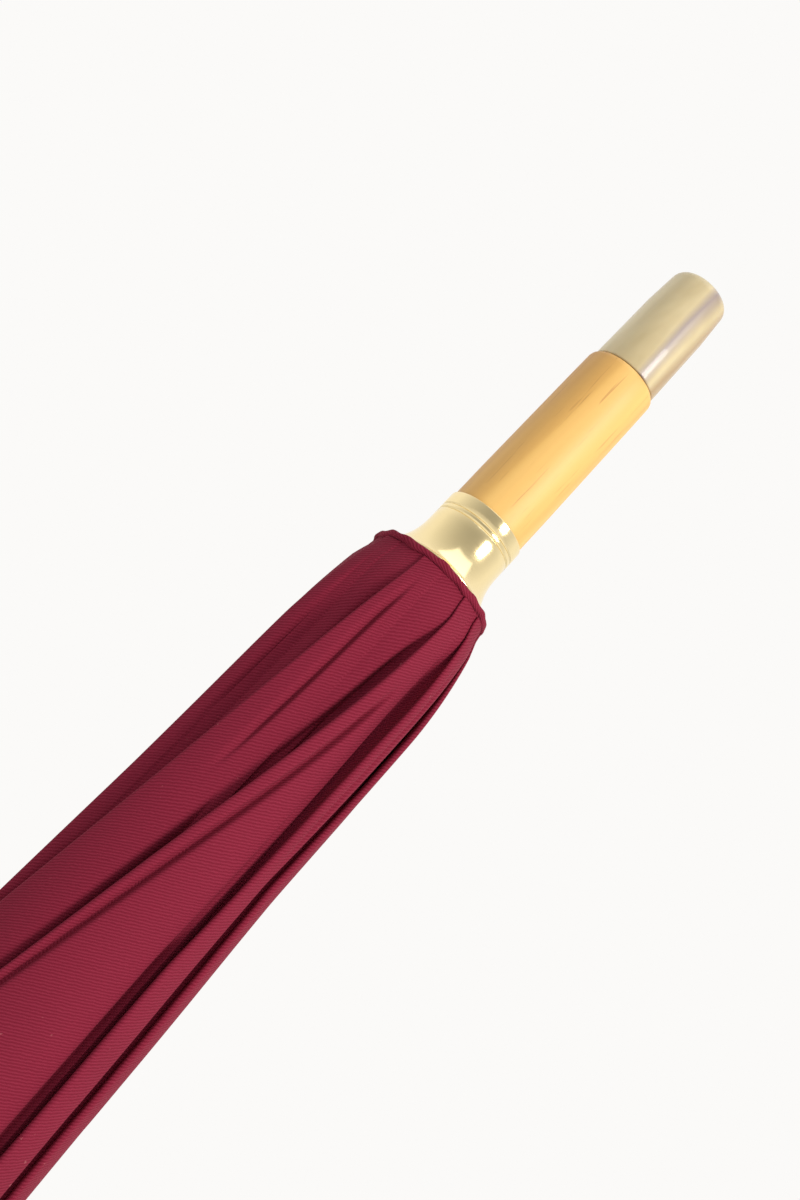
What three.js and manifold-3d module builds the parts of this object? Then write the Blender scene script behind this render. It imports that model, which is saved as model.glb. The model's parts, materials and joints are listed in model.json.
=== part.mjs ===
// A stick umbrella, furled: a solid wooden stick runs from the horn ferrule to the crook,
// and eight ribs, hinged on the notch under the crown, carry eight gores of cloth.
// Frame: millimetres, +Z towards the ferrule, origin on the stick's axis at the top of the
// handle, where the hand holds it. The pieces are drawn with zero at the notch wire, and the
// group then lifts them. The umbrella is modelled closed, which is the rest position.
import * as THREE from 'three';
import { mergeVertices } from 'three/addons/utils/BufferGeometryUtils.js';
import Module from 'manifold-3d';

const wasm = await Module();
wasm.setup();

// Driving dimensions
const RIB_COUNT = 8;
const RIB_LENGTH = 600;
const STRETCHER_REACH = 280; // from the notch wire down to the stretcher's rivet
const OPENING_ANGLE = THREE.MathUtils.degToRad(66);
const STICK_RADIUS = 8;
const WIRE_CIRCLE_RADIUS = 11.2; // where the ribs hang on the notch, and the stretchers on the runner
const ROSETTE_RADIUS = 14;
const HANDLE_RADIUS = 10.5;
const CROOK_RADIUS = 45; // of the handle's centreline

// The stick, from the handle up
const HANDLE_TOP = -692;
const CROOK_CENTRE_HEIGHT = -750;
const NOSE_LENGTH = 18;
const TENON_RADIUS = 5;
const TENON_LENGTH = 24;
const COLLAR_HEIGHT = 12;
const ROSETTE_BOTTOM = 5.2;
const ROSETTE_THICKNESS = 1.8;
const CAP_BOTTOM = 7.3;
const CAP_HEIGHT = 15;
const BARE_WOOD_LENGTH = 40.5;
const FERRULE_LENGTH = 25.2;
const FERRULE_RADIUS = 7;
const FERRULE_TIP_RADIUS = 6.3;
const SPIGOT_RADIUS = 4;
const SPIGOT_LENGTH = 12;

// Ribs and stretchers
const RIB_WIDTH = 2.6;
const RIB_DEPTH = 2.4;
const RIB_WALL = 0.6;
const BOW_HEIGHT = 9.6; // how far the closed ribs belly out around the stretchers
const BOW_POWER = 1.3; // above 1, the belly sits nearer to the handle
const TIP_SPREAD = 5.8;
const EYE_RADIUS = 1.5;
const EYE_HOLE_RADIUS = 0.8;
const EYE_THICKNESS = 1.4;
const RIVET_INSET = 3.6; // from the rib's centreline in to the stretcher's rivet
const RIVET_RADIUS = 0.6;
const EAR_THICKNESS = 0.8;
const EAR_GAP = 2.4;
const WIRE_RADIUS = 0.5;
const TIP_LENGTH = 15;

// Notch and runner
const CASTLE_RADIUS = 12.5;
const CASTLE_HALF_HEIGHT = 4.5;
const GROOVE_RADIUS = 10.3;
const SLOT_DEPTH_RADIUS = 9.4;
const GROOVE_HALF_HEIGHT = 1.2;
const SLOT_WIDTH = 2.2;
const RUNNER_BORE = 8.5;
const SLEEVE_RADIUS = 9.9;
const SLEEVE_LENGTH = 68;

// Catches
const CATCH_LENGTH = 30;
const CATCH_WIDTH = 2.4;
const CATCH_NOSE_RADIUS = 10.8;
const CATCH_CLEARANCE = 0.4;

// Cloth
const CLOTH_THICKNESS = 1;
const CLOTH_GAP = 0.7; // between a rib and the cloth over it
const CLOTH_END = 588;
const STRAP_WIDTH = 12;
const STRAP_TOP = 440;
const STRAP_BOTTOM = 584;

const GAP = 0.3;
const ROUND_SEGMENTS = 28;
const RIB_SPACING = (2 * Math.PI) / RIB_COUNT;

const wood = () => new THREE.MeshStandardMaterial({ color: '#dda65c', roughness: 0.45 });
const horn = () => new THREE.MeshStandardMaterial({ color: '#b9a98a', roughness: 0.35 });
const brass = () => new THREE.MeshStandardMaterial({ color: '#e0c060', roughness: 0.2, metalness: 1 });
const steel = () => new THREE.MeshStandardMaterial({ color: '#3c3d42', roughness: 0.4, metalness: 0.9 });
const cloth = () => new THREE.MeshStandardMaterial({ color: '#7d1b31', roughness: 0.9 });

const umbrella = new THREE.Group();
umbrella.position.z = -HANDLE_TOP;

function addPiece(name, geometry, material, azimuth = 0) {
  const mesh = new THREE.Mesh(geometry, material);
  mesh.name = name;
  mesh.rotation.z = azimuth;
  umbrella.add(mesh);
}

// Geometry helpers. Everything radial is drawn with x outwards from the stick's axis.

function solidOf(geometry) {
  const bare = geometry.clone();
  bare.deleteAttribute('normal');
  bare.deleteAttribute('uv');
  const welded = mergeVertices(bare);
  const vertProperties = new Float32Array(welded.attributes.position.array);
  const triVerts = new Uint32Array(welded.index.array);
  return new wasm.Manifold(new wasm.Mesh({ numProp: 3, vertProperties, triVerts }));
}

function geometryOf(solid) {
  const { vertProperties, triVerts } = solid.getMesh();
  const geometry = new THREE.BufferGeometry();
  geometry.setAttribute('position', new THREE.BufferAttribute(vertProperties, 3));
  geometry.setIndex(new THREE.BufferAttribute(triVerts, 1));
  geometry.computeVertexNormals();
  return geometry;
}

// A solid of revolution about Z. The profile lists [radius, height] from the bottom up.
function turned(profile, segments = ROUND_SEGMENTS) {
  const points = profile.map(([radius, height]) => new THREE.Vector2(radius, height));
  return new THREE.LatheGeometry(points, segments).rotateX(Math.PI / 2);
}

// A hollow one: its outside from the bottom up, then its inside back down to the start.
function turnedRing(profile, segments = ROUND_SEGMENTS) {
  return turned([...profile, profile[0]], segments);
}

function boxBetween(low, high) {
  const size = low.map((value, i) => high[i] - value);
  const middle = low.map((value, i) => (high[i] + value) / 2);
  return new THREE.BoxGeometry(...size).translate(...middle);
}

// A cylinder whose axis is tangential, at a distance and a height.
function crossCylinder(radius, length, x, z, segments = 8) {
  return new THREE.CylinderGeometry(radius, radius, length, segments).translate(x, 0, z);
}

// A plate standing in the radial plane, cut to an outline of [x, z] points.
function plate(outline, thickness) {
  const shape = new THREE.Shape(outline.map(([x, z]) => new THREE.Vector2(x, z)));
  const geometry = new THREE.ExtrudeGeometry(shape, { depth: thickness, bevelEnabled: false });
  return geometry.rotateX(Math.PI / 2).translate(0, thickness / 2, 0);
}

// The closed rib's centreline: its distance from the stick's axis at a distance down it.
function ribRadius(down) {
  const share = down / RIB_LENGTH;
  const bow = BOW_HEIGHT * Math.sin(Math.PI * share ** BOW_POWER);
  return WIRE_CIRCLE_RADIUS + TIP_SPREAD * share + bow;
}

function ribSlope(down) {
  return ribRadius(down + 0.5) - ribRadius(down - 0.5);
}

const RIVET_X = ribRadius(STRETCHER_REACH) - RIVET_INSET;
const LINK_LENGTH = Math.hypot(STRETCHER_REACH, RIVET_X - WIRE_CIRCLE_RADIUS);
const CLOSED_ANGLE = Math.asin((RIVET_X - WIRE_CIRCLE_RADIUS) / LINK_LENGTH);
const RUNNER_CLOSED = -2 * LINK_LENGTH * Math.cos(CLOSED_ANGLE);
const RUNNER_OPEN = -2 * LINK_LENGTH * Math.cos(CLOSED_ANGLE + OPENING_ANGLE);

class RibLine extends THREE.Curve {
  constructor(from, to) {
    super();
    this.from = from;
    this.to = to;
  }

  getPoint(share, target = new THREE.Vector3()) {
    const down = this.from + (this.to - this.from) * share;
    return target.set(ribRadius(down), 0, -down);
  }
}

// Stick and its fittings

const CAP_TOP = CAP_BOTTOM + CAP_HEIGHT;
const STICK_TOP = CAP_TOP + BARE_WOOD_LENGTH;
const TOP_CATCH_PIVOT = RUNNER_OPEN - SLEEVE_LENGTH - CATCH_CLEARANCE - CATCH_LENGTH;
const BOTTOM_CATCH_PIVOT = RUNNER_CLOSED - 6;

function catchSlot(low, high) {
  return solidOf(boxBetween([1, -1.6, low - 3], [12, 1.6, high + 3]));
}

function stick() {
  const turnedStick = turned([
    [0, HANDLE_TOP - TENON_LENGTH],
    [TENON_RADIUS, HANDLE_TOP - TENON_LENGTH],
    [TENON_RADIUS, HANDLE_TOP],
    [STICK_RADIUS, HANDLE_TOP],
    [STICK_RADIUS, CAP_TOP],
    [STICK_RADIUS - 0.4, STICK_TOP - 0.8],
    [FERRULE_RADIUS + 0.1, STICK_TOP],
    [SPIGOT_RADIUS, STICK_TOP],
    [SPIGOT_RADIUS, STICK_TOP + SPIGOT_LENGTH],
    [0, STICK_TOP + SPIGOT_LENGTH],
  ]);
  const stopHole = crossCylinder(1.2, 30, 0, RUNNER_OPEN + CASTLE_HALF_HEIGHT + 1.2);
  return geometryOf(
    solidOf(turnedStick)
      .subtract(catchSlot(TOP_CATCH_PIVOT, TOP_CATCH_PIVOT + CATCH_LENGTH))
      .subtract(catchSlot(BOTTOM_CATCH_PIVOT - CATCH_LENGTH, BOTTOM_CATCH_PIVOT))
      .subtract(solidOf(stopHole)),
  );
}

function ferrule() {
  const bottom = STICK_TOP + GAP;
  const top = bottom + FERRULE_LENGTH;
  const rounding = 2.2;
  const rounded = [0, 30, 60, 90].map((degrees) => {
    const angle = THREE.MathUtils.degToRad(degrees);
    const radius = FERRULE_TIP_RADIUS - rounding + rounding * Math.cos(angle);
    return [radius, top - rounding + rounding * Math.sin(angle)];
  });
  return turned([
    [0, bottom + SPIGOT_LENGTH + 1],
    [SPIGOT_RADIUS + GAP, bottom + SPIGOT_LENGTH + 1],
    [SPIGOT_RADIUS + GAP, bottom],
    [FERRULE_RADIUS, bottom],
    ...rounded,
    [0, top],
  ]);
}

function topCap() {
  const bore = STICK_RADIUS + 0.15;
  const neck = bore + 0.45;
  const flare = [0, 0.25, 0.5, 0.75, 1].map((share) => {
    return [neck + 2.6 * (1 - share) ** 2.2, CAP_BOTTOM + 0.8 + 8 * share];
  });
  const grooves = [CAP_TOP - 4.3, CAP_TOP - 3.1].flatMap((height) => [
    [neck, height],
    [neck - 0.2, height + 0.2],
    [neck, height + 0.4],
  ]);
  return turnedRing([
    [neck + 2.2, CAP_BOTTOM],
    ...flare,
    ...grooves,
    [neck, CAP_TOP],
    [bore, CAP_TOP],
    [bore, CAP_BOTTOM],
  ]);
}

function rosette() {
  const top = ROSETTE_BOTTOM + ROSETTE_THICKNESS;
  return turnedRing([
    [ROSETTE_RADIUS, ROSETTE_BOTTOM],
    [ROSETTE_RADIUS, top],
    [STICK_RADIUS + GAP, top],
    [STICK_RADIUS + GAP, ROSETTE_BOTTOM],
  ]);
}

function collar() {
  const bottom = HANDLE_TOP + GAP;
  const top = bottom + COLLAR_HEIGHT;
  return turnedRing([
    [HANDLE_RADIUS, bottom],
    [HANDLE_RADIUS + 0.6, bottom + 1],
    [HANDLE_RADIUS, bottom + 2],
    [HANDLE_RADIUS - 0.8, top - 3],
    [HANDLE_RADIUS - 0.3, top - 1.5],
    [HANDLE_RADIUS - 1, top],
    [STICK_RADIUS + GAP, top],
    [STICK_RADIUS + GAP, bottom],
  ]);
}

function handle() {
  const path = new THREE.CurvePath();
  const across = 2 * CROOK_RADIUS;
  const bend = CROOK_CENTRE_HEIGHT;
  const noseEnd = bend + NOSE_LENGTH;
  const arcReach = (4 / 3) * Math.tan(Math.PI / 8) * CROOK_RADIUS;
  const at = (x, z) => new THREE.Vector3(x, 0, z);
  path.add(new THREE.LineCurve3(at(0, HANDLE_TOP), at(0, bend)));
  path.add(new THREE.CubicBezierCurve3(
    at(0, bend),
    at(0, bend - arcReach),
    at(CROOK_RADIUS - arcReach, bend - CROOK_RADIUS),
    at(CROOK_RADIUS, bend - CROOK_RADIUS),
  ));
  path.add(new THREE.CubicBezierCurve3(
    at(CROOK_RADIUS, bend - CROOK_RADIUS),
    at(CROOK_RADIUS + arcReach, bend - CROOK_RADIUS),
    at(across, bend - arcReach),
    at(across, bend),
  ));
  path.add(new THREE.LineCurve3(at(across, bend), at(across, noseEnd)));
  const section = new THREE.Shape().absarc(0, 0, HANDLE_RADIUS, 0, 2 * Math.PI);
  const bar = new THREE.ExtrudeGeometry(section, { extrudePath: path, steps: 24, curveSegments: 8 });
  const nose = new THREE.SphereGeometry(HANDLE_RADIUS - 0.2, 16, 8).translate(across, 0, noseEnd);
  const socketLength = TENON_LENGTH + 2;
  const socket = turned([
    [0, HANDLE_TOP - socketLength],
    [TENON_RADIUS + GAP, HANDLE_TOP - socketLength],
    [TENON_RADIUS + GAP, HANDLE_TOP + 1],
    [0, HANDLE_TOP + 1],
  ], 16);
  return geometryOf(solidOf(bar).add(solidOf(nose)).subtract(solidOf(socket)));
}

// The ring with a slot for each rib or stretcher, and a groove for the wire they hang on.
// The slots are open towards -Z on the notch and towards +Z on the runner.
function castle(ring, height, openSide) {
  const blind = height - openSide * (EYE_RADIUS + 0.8);
  const open = height + openSide * (CASTLE_HALF_HEIGHT + 1);
  const low = [SLOT_DEPTH_RADIUS, -SLOT_WIDTH / 2, Math.min(blind, open)];
  const high = [16, SLOT_WIDTH / 2, Math.max(blind, open)];
  let solid = solidOf(ring);
  for (let i = 0; i < RIB_COUNT; i += 1) {
    const slot = boxBetween(low, high).rotateZ(i * RIB_SPACING);
    solid = solid.subtract(solidOf(slot));
  }
  return solid;
}

function grooveProfile(height) {
  return [
    [CASTLE_RADIUS, height - CASTLE_HALF_HEIGHT],
    [CASTLE_RADIUS, height - GROOVE_HALF_HEIGHT],
    [GROOVE_RADIUS, height - GROOVE_HALF_HEIGHT],
    [GROOVE_RADIUS, height + GROOVE_HALF_HEIGHT],
    [CASTLE_RADIUS, height + GROOVE_HALF_HEIGHT],
    [CASTLE_RADIUS, height + CASTLE_HALF_HEIGHT],
  ];
}

function notch() {
  const bore = STICK_RADIUS + 0.15;
  const ring = turnedRing([
    ...grooveProfile(0),
    [bore, CASTLE_HALF_HEIGHT],
    [bore, -CASTLE_HALF_HEIGHT],
  ]);
  return geometryOf(castle(ring, 0, -1));
}

function runner() {
  const bottom = RUNNER_CLOSED - SLEEVE_LENGTH;
  const ring = turnedRing([
    [SLEEVE_RADIUS + 1.5, bottom],
    [SLEEVE_RADIUS + 1.5, bottom + 4.5],
    [SLEEVE_RADIUS, bottom + 6],
    [SLEEVE_RADIUS, RUNNER_CLOSED - CASTLE_HALF_HEIGHT],
    ...grooveProfile(RUNNER_CLOSED),
    [RUNNER_BORE, RUNNER_CLOSED + CASTLE_HALF_HEIGHT],
    [RUNNER_BORE, bottom],
  ]);
  const windowBottom = BOTTOM_CATCH_PIVOT - CATCH_LENGTH - CATCH_CLEARANCE;
  const window = boxBetween([5, -1.8, windowBottom], [14, 1.8, windowBottom + 17]);
  return geometryOf(castle(ring, RUNNER_CLOSED, 1).subtract(solidOf(window)));
}

function wireRing(height) {
  return new THREE.TorusGeometry(WIRE_CIRCLE_RADIUS, WIRE_RADIUS, 5, 32).translate(0, 0, height);
}

function stopPin() {
  return crossCylinder(0.9, 2 * (STICK_RADIUS + 1.6), 0, RUNNER_OPEN + CASTLE_HALF_HEIGHT + 1.2);
}

// A leaf let into the stick, hinged at one end, with a nose that holds the runner.
// Its nose points up from the pivot, or down for a leaf on the other side of the runner.
function springCatch(pivot, direction) {
  const at = (x, along) => [x, pivot + direction * along];
  const outline = [
    at(5, -1.5),
    at(7.6, -1.5),
    at(7.6, 16),
    at(CATCH_NOSE_RADIUS, CATCH_LENGTH - 1),
    at(CATCH_NOSE_RADIUS, CATCH_LENGTH),
    at(5, CATCH_LENGTH),
  ];
  return plate(outline, CATCH_WIDTH);
}

// Ribs and stretchers, drawn in the radial plane of the first one

function rib() {
  const half = RIB_WIDTH / 2;
  const depth = RIB_DEPTH / 2;
  const channel = new THREE.Shape([
    new THREE.Vector2(-half, -depth),
    new THREE.Vector2(half, -depth),
    new THREE.Vector2(half, depth),
    new THREE.Vector2(half - RIB_WALL, depth),
    new THREE.Vector2(half - RIB_WALL, -depth + RIB_WALL),
    new THREE.Vector2(-half + RIB_WALL, -depth + RIB_WALL),
    new THREE.Vector2(-half + RIB_WALL, depth),
    new THREE.Vector2(-half, depth),
  ]);
  const line = new RibLine(9, RIB_LENGTH);
  const bar = new THREE.ExtrudeGeometry(channel, { extrudePath: line, steps: 12 });
  const tongue = plate([
    [WIRE_CIRCLE_RADIUS - 0.9, 0],
    [WIRE_CIRCLE_RADIUS + 0.9, 0],
    [ribRadius(14) + 0.9, -14],
    [ribRadius(14) - 0.9, -14],
  ], EYE_THICKNESS);
  const eye = crossCylinder(EYE_RADIUS, EYE_THICKNESS, WIRE_CIRCLE_RADIUS, 0);
  const eyeHole = crossCylinder(EYE_HOLE_RADIUS, 6, WIRE_CIRCLE_RADIUS, 0);
  const rivetHole = crossCylinder(RIVET_RADIUS + 0.2, 10, RIVET_X, -STRETCHER_REACH);
  let solid = solidOf(bar).add(solidOf(tongue)).add(solidOf(eye)).subtract(solidOf(eyeHole));
  for (const side of [-1, 1]) {
    const inner = (side * EAR_GAP) / 2;
    const outer = inner + side * EAR_THICKNESS;
    const ear = boxBetween(
      [RIVET_X - 1.6, Math.min(inner, outer), -STRETCHER_REACH - 4],
      [RIVET_X + RIVET_INSET + 0.6, Math.max(inner, outer), -STRETCHER_REACH + 4],
    );
    solid = solid.add(solidOf(ear));
  }
  return geometryOf(solid.subtract(solidOf(rivetHole)));
}

function ribTip() {
  const mouth = TIP_LENGTH - 6.4;
  const tip = turned([
    [0, -6.4],
    [2.2, -5.6],
    [2.9, -3.6],
    [2.6, mouth],
    [2.1, mouth],
    [2.1, -GAP],
    [0, -GAP],
  ], 12);
  const lean = Math.atan(ribSlope(RIB_LENGTH));
  return tip.rotateY(-lean).translate(ribRadius(RIB_LENGTH), 0, -RIB_LENGTH);
}

function ribRivet() {
  const half = EAR_GAP / 2 + EAR_THICKNESS + 0.1;
  const rivet = turned([
    [0, -half - 0.4],
    [1.2, -half],
    [RIVET_RADIUS, -half],
    [RIVET_RADIUS, half],
    [1.2, half],
    [0, half + 0.4],
  ], 8);
  return rivet.rotateX(Math.PI / 2).translate(RIVET_X, 0, -STRETCHER_REACH);
}

function stretcher() {
  const angle = Math.atan2(RIVET_X - WIRE_CIRCLE_RADIUS, -STRETCHER_REACH - RUNNER_CLOSED);
  const place = (geometry) => geometry
    .rotateY(angle)
    .translate(WIRE_CIRCLE_RADIUS, 0, RUNNER_CLOSED);
  const tongueLength = 12;
  const bar = boxBetween([-0.9, -1.1, tongueLength - 3], [0.9, 1.1, LINK_LENGTH - tongueLength + 3]);
  const tongue = boxBetween([-0.9, -EYE_THICKNESS / 2, 0], [0.9, EYE_THICKNESS / 2, LINK_LENGTH]);
  let solid = solidOf(bar).add(solidOf(tongue));
  for (const along of [0, LINK_LENGTH]) {
    const eye = crossCylinder(EYE_RADIUS, EYE_THICKNESS, 0, along);
    solid = solid.add(solidOf(eye));
  }
  const wireHole = crossCylinder(EYE_HOLE_RADIUS, 6, 0, 0);
  const rivetHole = crossCylinder(RIVET_RADIUS + 0.2, 6, 0, LINK_LENGTH);
  return place(geometryOf(solid.subtract(solidOf(wireHole)).subtract(solidOf(rivetHole))));
}

// Cloth

function clothRadius(down) {
  const overRib = ribRadius(Math.max(down, 0)) + RIB_DEPTH / 2 + CLOTH_GAP;
  return Math.max(overRib, CASTLE_RADIUS + GAP);
}

function gore() {
  const stations = [-4.4, 8, 100, 200, 300, 400, 500, CLOTH_END];
  const outside = stations.map((down) => [clothRadius(down) + CLOTH_THICKNESS, -down]).reverse();
  const inside = stations.map((down) => [clothRadius(down), -down]);
  const tube = turnedRing([...outside, ...inside], 5 * RIB_COUNT);
  const reach = 60;
  const edge = THREE.MathUtils.degToRad(1.5);
  const sector = new THREE.Shape([
    new THREE.Vector2(0, 0),
    new THREE.Vector2(reach * Math.cos(edge), reach * Math.sin(edge)),
    new THREE.Vector2(reach * Math.cos(RIB_SPACING - edge), reach * Math.sin(RIB_SPACING - edge)),
  ]);
  const wedge = new THREE.ExtrudeGeometry(sector, { depth: 700, bevelEnabled: false });
  return geometryOf(solidOf(tube).intersect(solidOf(wedge.translate(0, 0, -650))));
}

function tieStrap() {
  const stations = [STRAP_TOP, (2 * STRAP_TOP + STRAP_BOTTOM) / 3, (STRAP_TOP + 2 * STRAP_BOTTOM) / 3];
  stations.push(STRAP_BOTTOM);
  const inner = stations.map((down) => [clothRadius(down) + CLOTH_THICKNESS + 0.6, -down]);
  const outer = inner.map(([x, z]) => [x + 1.2, z]).reverse();
  return plate([...inner, ...outer], STRAP_WIDTH);
}

function strapButton() {
  const height = STRAP_BOTTOM - 12;
  const face = clothRadius(height) + CLOTH_THICKNESS + 2.5;
  const button = turned([
    [0, 0],
    [2, 0],
    [5, 0.6],
    [5, 1.4],
    [3.5, 1.9],
    [0, 1.9],
  ], 20);
  return button.rotateY(Math.PI / 2).translate(face, 0, -height);
}

addPiece('stick', stick(), wood());
addPiece('horn_ferrule', ferrule(), horn());
addPiece('top_cap', topCap(), brass());
addPiece('rosette', rosette(), cloth());
addPiece('notch', notch(), brass());
addPiece('notch_wire', wireRing(0), steel());
addPiece('stop_pin', stopPin(), steel());
addPiece('top_catch', springCatch(TOP_CATCH_PIVOT, 1), steel());
addPiece('bottom_catch', springCatch(BOTTOM_CATCH_PIVOT, -1), steel());
addPiece('runner', runner(), brass());
addPiece('runner_wire', wireRing(RUNNER_CLOSED), steel());
addPiece('handle_collar', collar(), brass());
addPiece('crook_handle', handle(), wood());

const ribShape = rib();
const tipShape = ribTip();
const rivetShape = ribRivet();
const stretcherShape = stretcher();
const goreShape = gore();
for (let i = 0; i < RIB_COUNT; i += 1) {
  const azimuth = i * RIB_SPACING;
  addPiece(`rib_${i + 1}`, ribShape, steel(), azimuth);
  addPiece(`rib_tip_${i + 1}`, tipShape, brass(), azimuth);
  addPiece(`rib_rivet_${i + 1}`, rivetShape, steel(), azimuth);
  addPiece(`stretcher_${i + 1}`, stretcherShape, steel(), azimuth);
  addPiece(`gore_${i + 1}`, goreShape, cloth(), azimuth);
}
addPiece('tie_strap', tieStrap(), cloth());
addPiece('strap_button', strapButton(), brass());

export default umbrella;
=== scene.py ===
"""Looks for a furled stick umbrella: wooden stick, horn ferrule, brass cap, pleated twill canopy.

Lengths are in metres in the frame's own axes: +Z runs along the stick towards the ferrule.
Places along the cloth are told as "down", the distance below the wire that the ribs hang on.
"""

import json
import math

import bpy
import numpy as np
from mathutils import Matrix, Vector

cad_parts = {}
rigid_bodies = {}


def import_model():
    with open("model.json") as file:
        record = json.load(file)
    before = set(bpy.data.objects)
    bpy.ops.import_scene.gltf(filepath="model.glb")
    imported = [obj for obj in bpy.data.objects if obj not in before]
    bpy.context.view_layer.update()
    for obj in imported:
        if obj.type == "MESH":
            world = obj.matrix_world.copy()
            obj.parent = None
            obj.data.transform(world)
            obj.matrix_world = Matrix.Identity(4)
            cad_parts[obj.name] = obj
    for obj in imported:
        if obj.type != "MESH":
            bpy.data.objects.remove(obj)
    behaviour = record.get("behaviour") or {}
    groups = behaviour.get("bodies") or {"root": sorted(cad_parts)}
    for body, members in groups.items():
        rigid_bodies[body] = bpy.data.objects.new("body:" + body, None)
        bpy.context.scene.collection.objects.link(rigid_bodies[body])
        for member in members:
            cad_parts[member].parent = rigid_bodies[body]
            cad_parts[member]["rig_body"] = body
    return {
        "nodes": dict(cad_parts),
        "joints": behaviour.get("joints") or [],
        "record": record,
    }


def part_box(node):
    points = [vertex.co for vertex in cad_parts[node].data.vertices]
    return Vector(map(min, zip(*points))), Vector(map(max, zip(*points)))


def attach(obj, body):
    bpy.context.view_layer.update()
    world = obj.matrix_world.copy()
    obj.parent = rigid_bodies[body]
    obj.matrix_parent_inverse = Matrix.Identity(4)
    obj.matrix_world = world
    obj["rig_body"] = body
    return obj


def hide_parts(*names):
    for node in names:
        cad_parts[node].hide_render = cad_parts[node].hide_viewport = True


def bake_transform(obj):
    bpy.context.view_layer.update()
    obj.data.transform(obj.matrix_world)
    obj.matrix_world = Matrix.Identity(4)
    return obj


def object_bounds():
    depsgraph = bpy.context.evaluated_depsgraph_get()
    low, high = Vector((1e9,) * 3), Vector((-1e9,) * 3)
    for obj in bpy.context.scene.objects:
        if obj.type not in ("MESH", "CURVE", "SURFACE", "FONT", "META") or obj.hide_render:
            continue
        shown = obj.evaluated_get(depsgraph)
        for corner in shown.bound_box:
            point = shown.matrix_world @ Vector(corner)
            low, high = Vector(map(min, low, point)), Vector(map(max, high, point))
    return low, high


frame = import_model()
cad_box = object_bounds()

MM = 0.001
RIBS = 8
SPACING = 2 * math.pi / RIBS
joints = {j["name"]: j for j in frame["joints"]}
HINGE = Vector(joints["canopy_opening"]["pos_m"])
CROWN = HINGE.z
FIRST_RIB = math.atan2(HINGE.y, HINGE.x)
STICK_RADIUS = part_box("stick")[1].x
TOUCHING_GAP = 0.3 * MM
SHARP_EDGE = math.radians(38)
ROSETTE_LOW, ROSETTE_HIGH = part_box("rosette")
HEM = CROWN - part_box("gore_1")[0].z
RIB_HALF_WIDTH = 0.5 * (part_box("rib_1")[1].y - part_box("rib_1")[0].y)

# The camera, held close to the crown and turned so that the umbrella lies aslant
CAMERA_DISTANCE = 0.470
CAMERA_LENS = 76.5
CAMERA_TILT = math.radians(17.5)
CAMERA_ROLL = math.radians(43.2)
AXIS_OFFSET = 1.95 * MM
PAPER_WHITE = (0.965, 0.955, 0.94)

# The cloth where it shows
CLOTH_OVER_RIB = 0.6 * MM
PUFF = 2.5 * MM
PUFF_LENGTH = 6 * MM
LAYER_STEP = 1.6 * MM
VALLEY_DEPTH = 2.0 * MM
VALLEY_WIDTH = 1.2 * MM
CREASE_WIDTH = 0.6 * MM
RIB_CLEARANCE = 0.35 * MM
FOLD_RADIUS = 0.65 * MM
BULGE = 0.35 * MM
HEM_WRAP = math.radians(22.5)
HEM_RISE = 0.05
OUTER_COLUMNS = 40

# A rib's outline is taken as the highest point within this distance, which covers the rivet's slot
RIVET_SLOT = 6 * MM

# Between these distances down, the cloth comes free from its gathered edge
COMING_FREE = (-5 * MM, 20 * MM)

# The hidden folds, one pack on each side of every rib, which fill out between these distances
PACKS_FILL = (110 * MM, 240 * MM)
FIRST_PACK = 28
SECOND_PACK = 27
PACK_REACH = math.radians(15)
PACK_DEPTH = 0.8 * MM
PACK_EDGE = math.radians(39)
CLOTH_SHARE = 0.86

OPEN_ANGLE = math.radians(joints["canopy_opening"]["range_deg"][1])
HALF_GORE = math.asin(math.sin(OPEN_ANGLE) * math.sin(SPACING / 2))


def smoothstep(value, low, high):
    share = np.clip((value - low) / (high - low), 0, 1)
    return share * share * (3 - 2 * share)


# ---------------------------------------------------------------- camera and light


def place_camera():
    data = bpy.data.cameras.new("camera")
    data.lens = CAMERA_LENS
    data.clip_start = 0.01
    camera = bpy.data.objects.new("camera", data)
    bpy.context.scene.collection.objects.link(camera)
    view = Vector((0, math.cos(CAMERA_TILT), math.sin(CAMERA_TILT)))
    level_right = Vector((1, 0, 0))
    level_up = level_right.cross(view)
    right = math.sin(CAMERA_ROLL) * level_up + math.cos(CAMERA_ROLL) * level_right
    up = math.cos(CAMERA_ROLL) * level_up - math.sin(CAMERA_ROLL) * level_right
    target = Vector((-AXIS_OFFSET, 0, CROWN))
    turn = Matrix((right, up, -view)).transposed().to_4x4()
    camera.matrix_world = Matrix.Translation(target - CAMERA_DISTANCE * view) @ turn
    bpy.context.scene.camera = camera


def area_light(name, place, aim, size, power, colour):
    data = bpy.data.lights.new(name, "AREA")
    data.shape = "RECTANGLE"
    data.size, data.size_y = size
    data.energy = power
    data.color = colour
    light = bpy.data.objects.new(name, data)
    bpy.context.scene.collection.objects.link(light)
    light.location = place
    light.rotation_euler = (aim - place).to_track_quat("-Z", "Y").to_euler()


def light_scene():
    crown = Vector((0, 0, CROWN))
    warm, cool = (1.0, 0.95, 0.88), (0.95, 0.97, 1.0)
    area_light("window", crown + Vector((0.75, -0.8, 0.35)), crown, (0.35, 0.5), 11.5, warm)
    area_light("sky", crown + Vector((0.15, -0.4, 1.2)), crown, (1.0, 1.0), 3, cool)
    bpy.context.scene.view_settings.view_transform = "Standard"


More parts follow.
